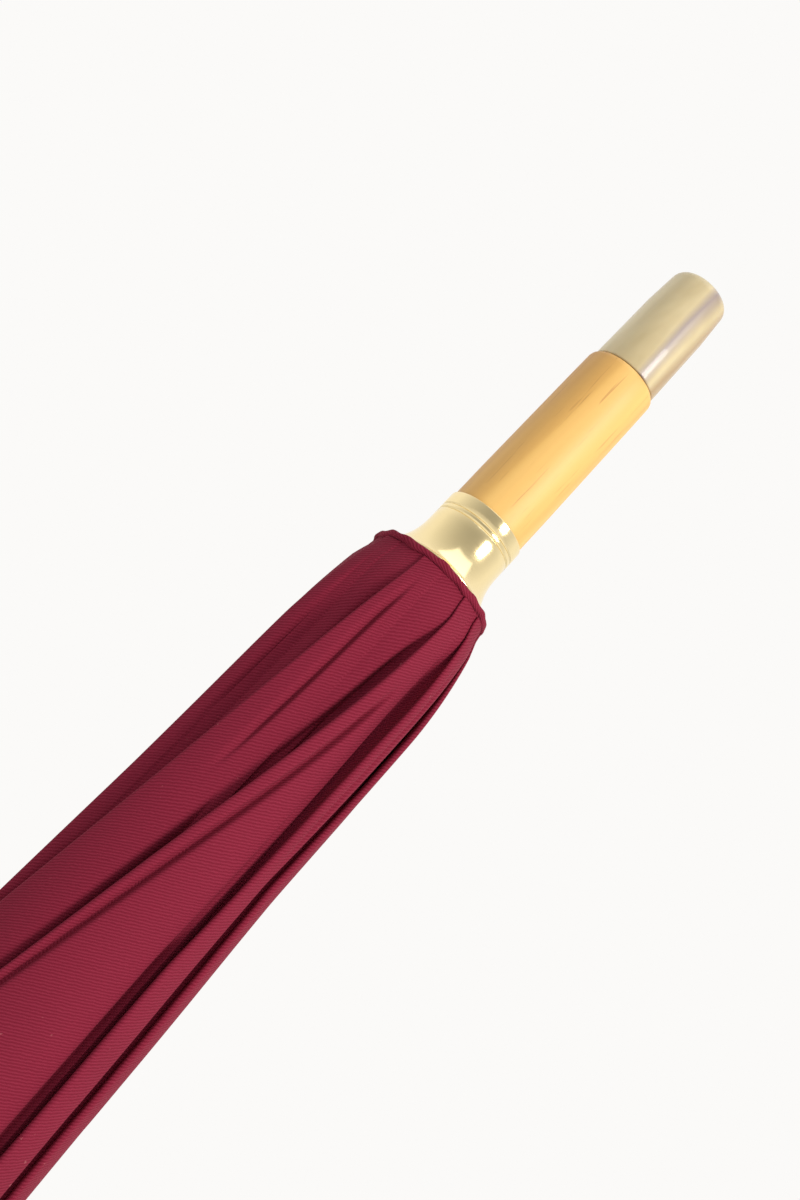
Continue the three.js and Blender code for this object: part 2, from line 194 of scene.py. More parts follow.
def make_world():
    """A room that is darker behind the camera. The camera itself sees plain paper."""
    world = bpy.data.worlds.new("studio")
    bpy.context.scene.world = world
    world.use_nodes = True
    tree = world.node_tree
    coordinates = tree.nodes.new("ShaderNodeTexCoord")
    parts = tree.nodes.new("ShaderNodeSeparateXYZ")
    shift = tree.nodes.new("ShaderNodeMapRange")
    shift.inputs["From Min"].default_value = -1
    ramp = tree.nodes.new("ShaderNodeValToRGB")
    dark, bright = ramp.color_ramp.elements
    dark.color = (0.42, 0.41, 0.39, 1)
    bright.position = 0.62
    bright.color = (1.0, 0.98, 0.95, 1)
    seen = tree.nodes.new("ShaderNodeLightPath")
    mix = tree.nodes.new("ShaderNodeMix")
    mix.data_type = "RGBA"
    mix.inputs[7].default_value = (*PAPER_WHITE, 1)
    tree.links.new(coordinates.outputs["Generated"], parts.inputs[0])
    tree.links.new(parts.outputs["Y"], shift.inputs["Value"])
    tree.links.new(shift.outputs["Result"], ramp.inputs["Fac"])
    tree.links.new(ramp.outputs["Color"], mix.inputs[6])
    tree.links.new(seen.outputs["Is Camera Ray"], mix.inputs[0])
    tree.links.new(mix.outputs[2], tree.nodes["Background"].inputs["Color"])


def make_floor():
    low = cad_box[0].z - 20 * MM
    reach = 40
    corners = [(-reach, -reach, low), (reach, -reach, low), (reach, reach, low), (-reach, reach, low)]
    paper = new_material("floor_paper", (0.93, 0.92, 0.90), 0.8)
    new_object("floor", corners, [(0, 1, 2, 3)], paper, smooth=False)


# ---------------------------------------------------------------- materials


def new_material(name, colour, roughness, metallic=0.0):
    material = bpy.data.materials.new(name)
    material.use_nodes = True
    shader = material.node_tree.nodes["Principled BSDF"]
    shader.inputs["Base Color"].default_value = (*colour, 1)
    shader.inputs["Roughness"].default_value = roughness
    shader.inputs["Metallic"].default_value = metallic
    return material


class Nodes:
    """Short words for building a material's node tree."""

    def __init__(self, material):
        self.tree = material.node_tree
        self.shader = self.tree.nodes["Principled BSDF"]

    def add(self, kind, **settings):
        node = self.tree.nodes.new(kind)
        for name, value in settings.items():
            setattr(node, name, value)
        return node

    def link(self, source, target):
        self.tree.links.new(source, target)

    def place(self, scale, source="Object", turn=(0, 0, 0)):
        if source == "grain":
            coordinates = self.add("ShaderNodeAttribute", attribute_name="grain")
            source = "Vector"
        else:
            coordinates = self.add("ShaderNodeTexCoord")
        mapping = self.add("ShaderNodeMapping")
        mapping.inputs["Scale"].default_value = scale
        mapping.inputs["Rotation"].default_value = turn
        self.link(coordinates.outputs[source], mapping.inputs["Vector"])
        return mapping.outputs["Vector"]

    def noise(self, place, scale=1.0, detail=3.0, distortion=0.0):
        node = self.add("ShaderNodeTexNoise")
        node.inputs["Scale"].default_value = scale
        node.inputs["Detail"].default_value = detail
        node.inputs["Distortion"].default_value = distortion
        self.link(place, node.inputs["Vector"])
        return node.outputs["Fac"]

    def ramp(self, value, stops):
        node = self.add("ShaderNodeValToRGB")
        elements = node.color_ramp.elements
        while len(elements) < len(stops):
            elements.new(0.5)
        for element, (position, colour) in zip(elements, stops):
            element.position = position
            element.color = (*colour, 1) if len(colour) == 3 else colour
        self.link(value, node.inputs["Fac"])
        return node.outputs["Color"]

    def mix(self, share, first, second, blend="MIX"):
        node = self.add("ShaderNodeMix", data_type="RGBA", blend_type=blend)
        for socket, value in ((node.inputs[0], share), (node.inputs[6], first), (node.inputs[7], second)):
            if isinstance(value, (int, float)):
                socket.default_value = value
            elif isinstance(value, tuple):
                socket.default_value = (*value, 1)
            else:
                self.link(value, socket)
        return node.outputs[2]

    def maths(self, operation, *values):
        node = self.add("ShaderNodeMath", operation=operation)
        for socket, value in zip(node.inputs, values):
            if isinstance(value, (int, float)):
                socket.default_value = value
            else:
                self.link(value, socket)
        return node.outputs[0]

    def spread(self, value, low, high):
        node = self.add("ShaderNodeMapRange")
        node.inputs["To Min"].default_value = low
        node.inputs["To Max"].default_value = high
        self.link(value, node.inputs["Value"])
        return node.outputs["Result"]

    def bump(self, height, strength, distance):
        node = self.add("ShaderNodeBump")
        node.inputs["Strength"].default_value = strength
        node.inputs["Distance"].default_value = distance
        self.link(height, node.inputs["Height"])
        self.link(node.outputs["Normal"], self.shader.inputs["Normal"])

    def colour(self, value):
        self.link(value, self.shader.inputs["Base Color"])

    def roughness(self, value):
        self.link(value, self.shader.inputs["Roughness"])


def twill_material():
    material = new_material("twill", (0.2, 0.012, 0.035), 0.85)
    n = Nodes(material)
    lines = n.add("ShaderNodeTexWave", wave_type="BANDS", bands_direction="X")
    n.link(n.place((1, 1, 1), source="UV", turn=(0, 0, math.radians(-57))), lines.inputs["Vector"])
    lines.inputs["Scale"].default_value = 540
    lines.inputs["Distortion"].default_value = 2.2
    lines.inputs["Detail"].default_value = 2.0
    lines.inputs["Detail Scale"].default_value = 1.5
    yarn = n.noise(n.place((900, 2600, 1), source="UV"), detail=2)
    broad = n.noise(n.place((1, 1, 1), source="UV"), scale=38, detail=4)
    lint = n.noise(n.place((420, 260, 1), source="UV"), detail=2, distortion=1.5)
    shade = n.mix(n.maths("MULTIPLY", yarn, 0.5), (0.155, 0.006, 0.021), (0.225, 0.013, 0.038))
    faded = n.mix(n.maths("MULTIPLY", broad, 0.55), shade, (0.105, 0.004, 0.015))
    lined = n.mix(n.maths("MULTIPLY", lines.outputs["Fac"], 0.34), faded, (0.33, 0.038, 0.078))
    specks = n.ramp(lint, [(0.735, (0, 0, 0)), (0.78, (1, 1, 1))])
    n.colour(n.mix(n.maths("MULTIPLY", specks, 0.35), lined, (0.45, 0.16, 0.17)))
    n.roughness(n.spread(yarn, 0.74, 0.95))
    n.shader.inputs["Sheen Weight"].default_value = 0.05
    n.shader.inputs["Sheen Roughness"].default_value = 0.5
    n.shader.inputs["Sheen Tint"].default_value = (0.9, 0.3, 0.4, 1)
    n.shader.inputs["Specular IOR Level"].default_value = 0.12
    n.bump(n.maths("ADD", lines.outputs["Fac"], n.maths("MULTIPLY", yarn, 0.9)), 0.5, 0.00012)
    return material


def wood_material():
    """The grain runs along the piece, round the crook's bend too."""
    material = new_material("honey_wood", (0.72, 0.43, 0.14), 0.35)
    n = Nodes(material)
    grain = n.noise(n.place((300, 300, 9), source="grain"), detail=5, distortion=0.4)
    pores = n.noise(n.place((1500, 1500, 60), source="grain"), detail=2)
    figure = n.noise(n.place((70, 70, 5), source="grain"), detail=3, distortion=1.0)
    brown, honey, pale = (0.56, 0.29, 0.065), (0.80, 0.49, 0.14), (0.90, 0.59, 0.20)
    body = n.ramp(figure, [(0.34, brown), (0.50, honey), (0.64, pale)])
    lined = n.mix(n.spread(grain, 0.0, 0.45), body, (0.50, 0.24, 0.055))
    marks = n.ramp(pores, [(0.30, (0.5, 0.5, 0.5)), (0.36, (0, 0, 0))])
    n.colour(n.mix(marks, lined, (0.40, 0.18, 0.05)))
    n.roughness(n.spread(grain, 0.42, 0.60))
    n.shader.inputs["Coat Weight"].default_value = 0.2
    n.shader.inputs["Coat Roughness"].default_value = 0.45
    n.bump(grain, 0.25, 0.00008)
    return material


def horn_material():
    """Pale horn with a grey-violet streak and a brown one, both along the ferrule."""
    material = new_material("horn", (0.62, 0.54, 0.38), 0.3)
    n = Nodes(material)
    fibres = n.noise(n.place((260, 260, 14)), detail=4, distortion=0.8)
    clouds = n.noise(n.place((110, 110, 30)), detail=3, distortion=0.5)
    body = n.ramp(clouds, [(0.30, (0.46, 0.37, 0.20)), (0.65, (0.68, 0.58, 0.36))])
    place = n.add("ShaderNodeSeparateXYZ")
    n.link(n.place((1000, 1000, 1000)), place.inputs[0])
    wavering = n.maths("ADD", place.outputs["X"], n.maths("MULTIPLY", clouds, 2.6))
    shares = n.maths("DIVIDE", wavering, 10.0)
    none, full, weak, most = (0, 0, 0), (1, 1, 1), (0.3, 0.3, 0.3), (0.6, 0.6, 0.6)
    grey = n.ramp(shares, [(0.20, none), (0.35, full), (0.46, most), (0.58, none)])
    brown = n.ramp(shares, [(0.62, none), (0.74, full), (0.90, weak)])
    streaked = n.mix(n.maths("MULTIPLY", grey, 0.9), body, (0.22, 0.17, 0.20))
    warmed = n.mix(n.maths("MULTIPLY", brown, 0.8), streaked, (0.30, 0.17, 0.07))
    n.colour(n.mix(n.spread(fibres, 0.0, 0.3), warmed, (0.42, 0.35, 0.22)))
    n.roughness(n.spread(fibres, 0.24, 0.40))
    n.shader.inputs["Subsurface Weight"].default_value = 0.2
    n.shader.inputs["Subsurface Radius"].default_value = (0.004, 0.003, 0.002)
    n.shader.inputs["Coat Weight"].default_value = 0.2
    n.bump(fibres, 0.15, 0.00006)
    return material


def brass_material():
    material = new_material("polished_brass", (0.86, 0.66, 0.30), 0.14, 1.0)
    n = Nodes(material)
    tarnish = n.noise(n.place((60, 60, 60)), detail=5)
    scratches = n.noise(n.place((300, 300, 4000)), detail=2)
    n.colour(n.mix(n.spread(tarnish, 0.0, 0.5), (0.97, 0.82, 0.48), (0.88, 0.67, 0.31)))
    n.roughness(n.maths("ADD", n.spread(tarnish, 0.06, 0.18), n.spread(scratches, 0.0, 0.08)))
    n.bump(scratches, 0.06, 0.00003)
    return material


def steel_material(name, colour, roughness, metallic):
    material = new_material(name, colour, roughness, metallic)
    n = Nodes(material)
    drawn = n.noise(n.place((700, 700, 12)), detail=3)
    wear = n.noise(n.place((90, 90, 40)), detail=5)
    darker = tuple(0.6 * c for c in colour)
    n.colour(n.mix(n.spread(wear, 0.0, 0.9), colour, darker))
    n.roughness(n.spread(drawn, roughness - 0.08, roughness + 0.14))
    n.bump(drawn, 0.12, 0.00004)
    return material


# ---------------------------------------------------------------- meshes


def new_object(name, vertices, faces, material, smooth=True):
    mesh = bpy.data.meshes.new(name)
    mesh.from_pydata(vertices, [], faces)
    mesh.validate()
    mesh.materials.append(material)
    mesh.polygons.foreach_set("use_smooth", [smooth] * len(mesh.polygons))
    obj = bpy.data.objects.new(name, mesh)
    bpy.context.scene.collection.objects.link(obj)
    return obj


def grid_faces(rows, columns, closed_columns=False):
    faces = []
    last = columns if closed_columns else columns - 1
    for row in range(rows - 1):
        for column in range(last):
            after = (column + 1) % columns
            a, b = row * columns + column, row * columns + after
            faces.append((a, b, b + columns, a + columns))
    return faces


def end_faces(around, total):
    """The two flat ends of a tube whose rings each have the same number of points."""
    return [tuple(reversed(range(around))), tuple(range(total - around, total))]


def turned(name, profile, material, segments=96):
    """A closed ring or knob turned about the stick's axis from [radius, height] points that close up."""
    angles = np.linspace(0, 2 * math.pi, segments, endpoint=False)
    vertices, rings = [], []
    for radius, height in profile:
        if radius < 1e-7:
            rings.append([len(vertices)])
            vertices.append((0, 0, height))
        else:
            rings.append(list(range(len(vertices), len(vertices) + segments)))
            vertices += [(radius * math.cos(a), radius * math.sin(a), height) for a in angles]
    faces = []
    loop = profile[0][0] > 1e-7
    pairs = list(zip(rings, rings[1:])) + ([(rings[-1], rings[0])] if loop else [])
    for low, high in pairs:
        for i in range(segments):
            j = (i + 1) % segments
            corners = [low[i % len(low)], low[j % len(low)], high[j % len(high)], high[i % len(high)]]
            faces.append(tuple(dict.fromkeys(corners)))
    obj = new_object(name, vertices, faces, material)
    obj.data.set_sharp_from_angle(angle=SHARP_EDGE)
    return obj


def arc(centre, radius, start, end, count):
    angles = np.radians(np.linspace(start, end, count))
    return [(centre[0] + radius * math.cos(a), centre[1] + radius * math.sin(a)) for a in angles]


def cut(obj, low, high):
    """Cuts a box out of a mesh."""
    x0, y0, z0 = low
    x1, y1, z1 = high
    corners = [(x, y, z) for z in (z0, z1) for y in (y0, y1) for x in (x0, x1)]
    sides = [(0, 2, 3, 1), (4, 5, 7, 6), (0, 1, 5, 4), (2, 6, 7, 3), (0, 4, 6, 2), (1, 3, 7, 5)]
    cutter = new_object("cutter", corners, sides, obj.data.materials[0], smooth=False)
    modifier = obj.modifiers.new("cut", "BOOLEAN")
    modifier.object = cutter
    modifier.operation = "DIFFERENCE"
    modifier.solver = "EXACT"
    bpy.context.view_layer.update()
    depsgraph = bpy.context.evaluated_depsgraph_get()
    made = bpy.data.meshes.new_from_object(obj.evaluated_get(depsgraph))
    obj.modifiers.clear()
    obj.data = made
    bpy.data.objects.remove(cutter)
    obj.data.set_sharp_from_angle(angle=SHARP_EDGE)


def stand_in(obj, node):
    """A piece made here takes the place of one CAD node and moves with its body."""
    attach(obj, frame["nodes"][node]["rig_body"])
    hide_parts(node)


def mark_grain(obj, places):
    """Stores where each point lies in the straight length of wood that the piece was made from."""
    layer = obj.data.attributes.new("grain", "FLOAT_VECTOR", "POINT")
    layer.data.foreach_set("vector", np.asarray(places, np.float32).ravel())


def make_stick(material):
    """The bare wood, thinner inside the handle and the ferrule, with a slot for each catch."""
    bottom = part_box("stick")[0].z
    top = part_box("stick")[1].z
    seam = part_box("horn_ferrule")[0].z - TOUCHING_GAP
    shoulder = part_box("handle_collar")[0].z - TOUCHING_GAP
    cap_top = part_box("top_cap")[1].z
    in_handle, in_ferrule = 5 * MM, 4 * MM
    profile = [
        (0, bottom),
        (in_handle, bottom),
        (in_handle, shoulder),
        (STICK_RADIUS, shoulder),
        (STICK_RADIUS, cap_top - 2 * MM),
        (STICK_RADIUS - 0.02 * MM, cap_top + 8 * MM),
        (STICK_RADIUS - 0.28 * MM, seam - 6 * MM),
        (STICK_RADIUS - 0.36 * MM, seam - 1.0 * MM),
        (STICK_RADIUS - 0.50 * MM, seam - 0.45 * MM),
        (STICK_RADIUS - 0.85 * MM, seam),
        (in_ferrule, seam),
        (in_ferrule, top),
        (0, top),
    ]
    stick = turned("stick_wood", profile, material)
    for node in ("top_catch", "bottom_catch"):
        low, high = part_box(node)
        inner_corner = (1 * MM, low.y - 0.4 * MM, low.z - 1.5 * MM)
        outer_corner = (12 * MM, high.y + 0.4 * MM, high.z + 1.5 * MM)
        cut(stick, inner_corner, outer_corner)
    mark_grain(stick, [v.co for v in stick.data.vertices])
    stand_in(stick, "stick")


def make_handle(material):
    """The crook: a straight grip, a half circle and a short nose with a round end."""
    segments = 56
    low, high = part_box("crook_handle")
    thick = -low.x
    bend = 0.5 * (high.x - thick)
    centre = low.z + bend + thick
    shape = np.array([v.co for v in frame["nodes"]["crook_handle"].data.vertices])
    nose = shape[shape[:, 0] > bend, 2].max() - thick
    socket, depth, edge = 5.3 * MM, 26 * MM, 0.7 * MM
    stations = [(0, high.z - depth, 0, 1e-5), (0, high.z - depth, 0, socket), (0, high.z, 0, socket)]
    stations += [(0, high.z - edge + z, 0, r) for r, z in arc((thick - edge, 0), edge, 90, 0, 5)]
    stations += [(0, z, 0, thick) for z in np.linspace(high.z - 3 * MM, centre, 12)]
    for turn in np.linspace(0, math.pi, 50)[1:]:
        slim = thick * (1 - 0.05 * math.sin(turn))
        stations.append((bend * (1 - math.cos(turn)), centre - bend * math.sin(turn), turn, slim))
    stations.append((2 * bend, nose, math.pi, thick))
    for turn in np.radians(np.linspace(8, 89.5, 12)):
        stations.append((2 * bend, nose + thick * math.sin(turn), math.pi, thick * math.cos(turn)))
    vertices, places, along = [], [], 0.0
    before = stations[0]
    for x, z, turn, radius in stations:
        along += math.hypot(x - before[0], z - before[1])
        before = (x, z, turn, radius)
        for angle in np.linspace(0, 2 * math.pi, segments, endpoint=False):
            out, side = radius * math.cos(angle), radius * math.sin(angle)
            vertices.append((x + out * math.cos(turn), -side, z + out * math.sin(turn)))
            places.append((out, side, along))
    faces = grid_faces(len(stations), segments, closed_columns=True)
    faces += end_faces(segments, len(vertices))
    handle = new_object("handle_wood", vertices, faces, material)
    handle.data.set_sharp_from_angle(angle=math.radians(50))
    mark_grain(handle, places)
    stand_in(handle, "crook_handle")


def make_collar(material):
    low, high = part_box("handle_collar")
    bore = STICK_RADIUS + 0.15 * MM
    bead, ring = 1.0 * MM, 0.8 * MM
    profile = [(bore, low.z)]
    profile += arc((high.x - bead, low.z + bead), bead, -90, 80, 9)
    profile += arc((high.x + 1.2 * MM, low.z + 6 * MM), 3.4 * MM, 220, 140, 9)
    profile += arc((high.x - bead - ring, high.z - 1.3 * MM), ring, -60, 80, 8)
    profile += [(bore + 0.5 * MM, high.z), (bore, high.z)]
    stand_in(turned("collar_brass", profile, material), "handle_collar")


def make_ferrule(material):
    low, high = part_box("horn_ferrule")
    inner = 4.3 * MM
    depth = low.z + 13 * MM
    seam_radius = high.x
    end_radius = seam_radius - 0.7 * MM
    rounding = 2.4 * MM
    shoulder = high.z - rounding
    profile = [(0, depth), (inner, depth), (inner, low.z), (seam_radius - 0.35 * MM, low.z)]
    profile += arc((seam_radius - 0.35 * MM, low.z + 0.35 * MM), 0.35 * MM, -60, 0, 4)
    for share in (0.35, 0.7):
        profile.append((seam_radius - 0.35 * MM * share, low.z + (shoulder - low.z) * share))
    profile += arc((end_radius - rounding, shoulder), rounding, 0, 90, 9)
    profile += [(0, high.z)]
    stand_in(turned("ferrule_horn", profile, material), "horn_ferrule")


def groove(radius, height, depth, width):
    return [
        (radius, height - width),
        (radius - 0.3 * depth, height - 0.55 * width),
        (radius - depth, height),
        (radius - 0.3 * depth, height + 0.55 * width),
        (radius, height + width),
    ]


def make_cap(material):
    low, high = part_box("top_cap")
    bore = STICK_RADIUS + 0.12 * MM
    neck = STICK_RADIUS + 0.42 * MM
    flare = high.x - neck
    flare_height = 0.62 * (high.z - low.z)
    profile = [(bore, low.z), (high.x - 0.25 * MM, low.z)]
    profile += arc((high.x - 0.25 * MM, low.z + 0.25 * MM), 0.25 * MM, -90, 90, 7)
    shares = np.linspace(0.08, 1, 14)
    profile += [(neck + flare * (1 - s) ** 2.6, low.z + flare_height * s) for s in shares]
    profile += groove(neck, high.z - 4.0 * MM, 0.22 * MM, 0.28 * MM)
    profile += groove(neck, high.z - 2.9 * MM, 0.22 * MM, 0.28 * MM)
    profile += [(neck, high.z - 0.25 * MM)]
    profile += arc((neck - 0.2 * MM, high.z - 0.2 * MM), 0.2 * MM, 0, 90, 5)
    profile += [(bore, high.z)]
    stand_in(turned("cap_brass", profile, material), "top_cap")


# ---------------------------------------------------------------- cloth


def rib_outline():
    """How far the ribs' outer faces stand from the stick's axis, at a run of distances down."""
    azimuth = Vector((math.cos(FIRST_RIB), math.sin(FIRST_RIB), 0))
    points = np.array([v.co for v in frame["nodes"]["rib_1"].data.vertices], float)
    out = points @ np.array(azimuth)
    down = CROWN - points[:, 2]
    stations = np.unique(np.round(down[down > 20 * MM], 3))
    outermost = [out[np.abs(down - station) < RIVET_SLOT].max() for station in stations]
    return np.concatenate([[0], stations]), np.concatenate([[HINGE.xy.length + 1.2 * MM], outermost])


RIB_DOWN, RIB_OUT = rib_outline()


def visible_radius(down):
    """The furled bundle's own radius, between the crests and the hollows of its pleats."""
    over_rib = np.interp(down, RIB_DOWN, RIB_OUT) + CLOTH_OVER_RIB
    puffed = over_rib + PUFF * (1 - np.exp(-max(down + 6 * MM, 0) / PUFF_LENGTH))
    at_rosette = ROSETTE_HIGH.x - 0.8 * MM
    return at_rosette + (puffed - at_rosette) * smoothstep(down, CROWN - ROSETTE_HIGH.z, 0)


def clear_of_ribs(down, angles, radii):
    """Lifts the cloth where a fold's hollow would let a rib through."""
    rib_face = np.interp(down, RIB_DOWN, RIB_OUT) + RIB_CLEARANCE
    from_rib = np.abs(angles - SPACING * np.round(angles / SPACING)) * radii
    beside = smoothstep(from_rib, RIB_HALF_WIDTH, RIB_HALF_WIDTH + 1.5 * MM)
    return np.maximum(radii, rib_face - VALLEY_DEPTH * beside)


class Pleat:
    """How one gore is folded over towards the rib before it. Angles are counted from that rib.

    Each crease is told in millimetres: its distance from the crest at its top and at its
    bottom, how far down it starts and ends, and its depth.
    """

    def __init__(self, wrap_start, wrap_rate, wrap_most=37, creases=(), seed=0):
        self.wrap_start = math.radians(wrap_start)
        self.wrap_rate = math.radians(wrap_rate) / MM
        self.wrap_most = math.radians(wrap_most)
        self.creases = creases
        self.phase = 1.7 * seed

    def wrap(self, down):
        """The angle by which the crest lies past the rib. All pleats lie alike further down."""
        drawn = min(self.wrap_start + self.wrap_rate * max(down, 0), self.wrap_most)
        settled = drawn + (HEM_WRAP - drawn) * smoothstep(down, 100 * MM, 260 * MM)
        wave = math.sin(down / 0.031 + self.phase) + 0.6 * math.sin(down / 0.012 + 2.3 * self.phase)
        return settled + math.radians(0.7) * wave * smoothstep(down, 4 * MM, 30 * MM)

    def ripple(self, down, angle):
        """Soft slanting waves in the cloth."""
        long_wave = np.sin(down / 0.019 - 2.2 * angle + self.phase)
        short_wave = np.sin(down / 0.0075 + 3.1 * angle + 1.9 * self.phase)
        return 0.16 * MM * long_wave + 0.05 * MM * short_wave

    def creased(self, down, past_crest):
        """How deep the creases press in the cloth at some distances past the crest."""
        place = down / MM
        depths = np.zeros_like(past_crest)
        for gap_above, gap_below, top, bottom, depth in self.creases:
            gap = gap_above + (gap_below - gap_above) * smoothstep(place, top, bottom)
            present = smoothstep(place, top, top + 12) * (1 - smoothstep(place, bottom - 20, bottom))
            depths += depth * MM * present * np.exp(-(((past_crest - gap * MM) / CREASE_WIDTH) ** 2))
        return depths


# In order from the first rib. The main camera sees the last four, and the others are like them.
PLEATS = [
    Pleat(7, 0.40, wrap_most=30, creases=[(4.0, 3.5, 0, 40, 0.6)], seed=1),
    Pleat(-14, 0.35, creases=[(4.4, 3.0, 2, 50, 0.7)], seed=2),
    Pleat(-18, 0.30, creases=[(3.0, 1.5, 20, 125, 1.2)], seed=3),
    Pleat(-20, 0.38, creases=[(5.0, 4.0, 0, 35, 0.6)], seed=4),
    Pleat(-28, 0.0, creases=[(3.8, 3.0, -3, 48, 1.5), (7.0, 5.4, 2, 36, 0.9)], seed=5),
    Pleat(-26, 0.38, creases=[(2.6, 5.4, -2, 54, 1.3), (6.0, 8.2, 4, 42, 0.5)], seed=6),
    Pleat(-28, 0.52, creases=[(3.4, 1.3, 14, 125, 1.7)], seed=7),
    Pleat(-8, 0.20, wrap_most=8, creases=[(3.0, 2.6, 2, 60, 0.6)], seed=8),
]


class Section:
    """One gore cut across: the angles and radii of its points, from its own rib to the next.

    The cloth goes from the seam into a pack of small hidden folds, comes out under the pleat
    to its crest, lies on the outside, and folds up once more before the next seam.
    """

    def __init__(self, pleat, beyond, down):
        self.pleat = pleat
        self.down = down
        free = smoothstep(down, *COMING_FREE)
        self.radius = visible_radius(down)
        self.step = LAYER_STEP * (0.12 + 0.88 * free)
        self.fold = FOLD_RADIUS * (0.4 + 0.6 * free)
        self.valley = VALLEY_DEPTH * smoothstep(down, 1 * MM, 15 * MM)
        self.crest = -pleat.wrap(down)
        self.next_crest = SPACING - beyond.wrap(down)
        self.across = SPACING - self.crest
        self.seam_radius = self.radius - self.step
        self.turn_back = max(self.crest, 0) + math.radians(5)
        self.roll_middle = self.crest + self.fold / self.radius
        self.fullness = smoothstep(down, *PACKS_FILL)
        self.deep = PACK_DEPTH * self.fullness
        self.reach = self.pack_reach()

    def pack_reach(self):
        """How far the hidden folds swing, so that they take up the cloth that the outside leaves."""
        run = (self.across + abs(self.crest) + math.radians(10)) * self.radius
        spare = CLOTH_SHARE * 2 * HALF_GORE * max(self.down, 0) - run
        layers = FIRST_PACK + SECOND_PACK
        return min(max(spare, 0) / (layers * self.radius), PACK_REACH) * self.fullness

    def outside(self, angle):
        return self.radius + self.step * (1 - 2 * (angle - self.crest) / self.across)

    def dip(self, angle, edge):
        """The hollow beside a crest, above the hidden folds."""
        past = (edge - angle) * self.radius / VALLEY_WIDTH
        return self.valley * np.exp(-(past**2)) * (1 - self.fullness)

    def swing(self, angles, near, far):
        """Turns a plain run of angles into folds that swing between two angles."""
        swung = np.where(np.arange(len(angles)) % 2 == 0, near, far)
        return angles + (swung - angles) * self.fullness

    def first_pack(self):
        share = np.linspace(0.04, 1, FIRST_PACK + 1)
        angle = self.swing(self.turn_back * share, self.turn_back, self.turn_back + self.reach)
        radius = self.seam_radius - 0.15 * MM - self.deep * (1 - share) - self.dip(angle, self.crest)
        return angle, radius

    def second_pack(self):
        share = np.linspace(0, 0.96, SECOND_PACK + 1)
        plain = PACK_EDGE + (SPACING - PACK_EDGE) * share
        angle = self.swing(plain, PACK_EDGE - self.reach, PACK_EDGE)
        folded = self.seam_radius - self.deep * share
        radius = self.outside(plain) * (1 - self.fullness) + self.fullness * folded
        return angle, radius

    def inner_face(self, radius_before):
        """The cloth under the pleat, from the first pack out to the crest."""
        angle = np.linspace(self.turn_back - math.radians(2), self.roll_middle, 8)
        radius = self.outside(angle) - 2 * self.fold
        radius[0] = 0.5 * (radius[0] + radius_before)
        return angle, radius

    def crest_roll(self):
        turn = np.radians([235, 200, 165, 125])
        angle = self.roll_middle + self.fold / self.radius * np.cos(turn)
        radius = self.outside(self.crest) - self.fold + self.fold * np.sin(turn)
        return angle, radius

    def outer_face(self, angle_after):
        share = np.linspace(0, 1, OUTER_COLUMNS) ** 1.15
        end = angle_after - math.radians(0.6)
        angle = self.roll_middle + (end - self.roll_middle) * share
        radius = self.outside(angle) - self.dip(angle, self.next_crest)
        to_seam = np.clip((angle - self.crest) / self.across, 0, 1)
        shown = np.sin(np.pi * to_seam) ** 0.8 * smoothstep(self.down, -4 * MM, 12 * MM)
        radius += shown * (BULGE + self.pleat.ripple(self.down, angle))
        radius -= self.pleat.creased(self.down, (angle - self.crest) * self.radius)
        return angle, radius

    def points(self, weights=None):
        """Weights, from 0 at this gore's first rib to 1 at the next, change the radii of the hidden
        folds.
        """
        first, second = self.first_pack(), self.second_pack()
        runs = [
            ([0], [self.seam_radius]),
            first,
            self.inner_face(first[1][-1]),
            self.crest_roll(),
            self.outer_face(second[0][0]),
            second,
            ([SPACING], [self.seam_radius]),
        ]
        angles = np.concatenate([angle for angle, _ in runs])
        radii = clear_of_ribs(self.down, angles, np.concatenate([radius for _, radius in runs]))
        if weights is not None:
            packed = np.zeros(len(angles))
            packed[1 : FIRST_PACK + 2] = self.fullness
            packed[-SECOND_PACK - 2 : -1] = self.fullness
            radii = radii / (1 + packed * (np.cos(angles - SPACING * weights) - 1))
        return angles, radii


def weights_along(angles, radii):
    """A weight for each point, from 0 at this gore's first rib to 1 at the next.

    The weights grow with the cloth's own length, which is returned too. The cloth gives more
    right beside the seams.
    """
    lengths = np.hypot(np.diff(radii * np.cos(angles)), np.diff(radii * np.sin(angles)))
    give = np.ones(len(lengths))
    give[0] = give[-1] = 4
    shares = np.concatenate([[0], np.cumsum(lengths * give)])
    return shares / shares[-1], np.concatenate([[0], np.cumsum(lengths)])


def gore_rows():
    """Distances down for the rows of points: close together near the crown, wide apart below."""
    start = CROWN - ROSETTE_LOW.z - 0.1 * MM
    near = np.linspace(start, 130 * MM, 84)
    far = np.linspace(130 * MM, HEM, 48)[1:]
    return np.concatenate([near, far])


def lay_cloth(obj, places):
    """Gives each point its place on the flat cloth, for the weave."""
    layer = obj.data.uv_layers.new(name="cloth")
    corners = np.zeros(len(obj.data.loops), int)
    obj.data.loops.foreach_get("vertex_index", corners)
    layer.data.foreach_set("uv", np.asarray(places, float)[corners].ravel())


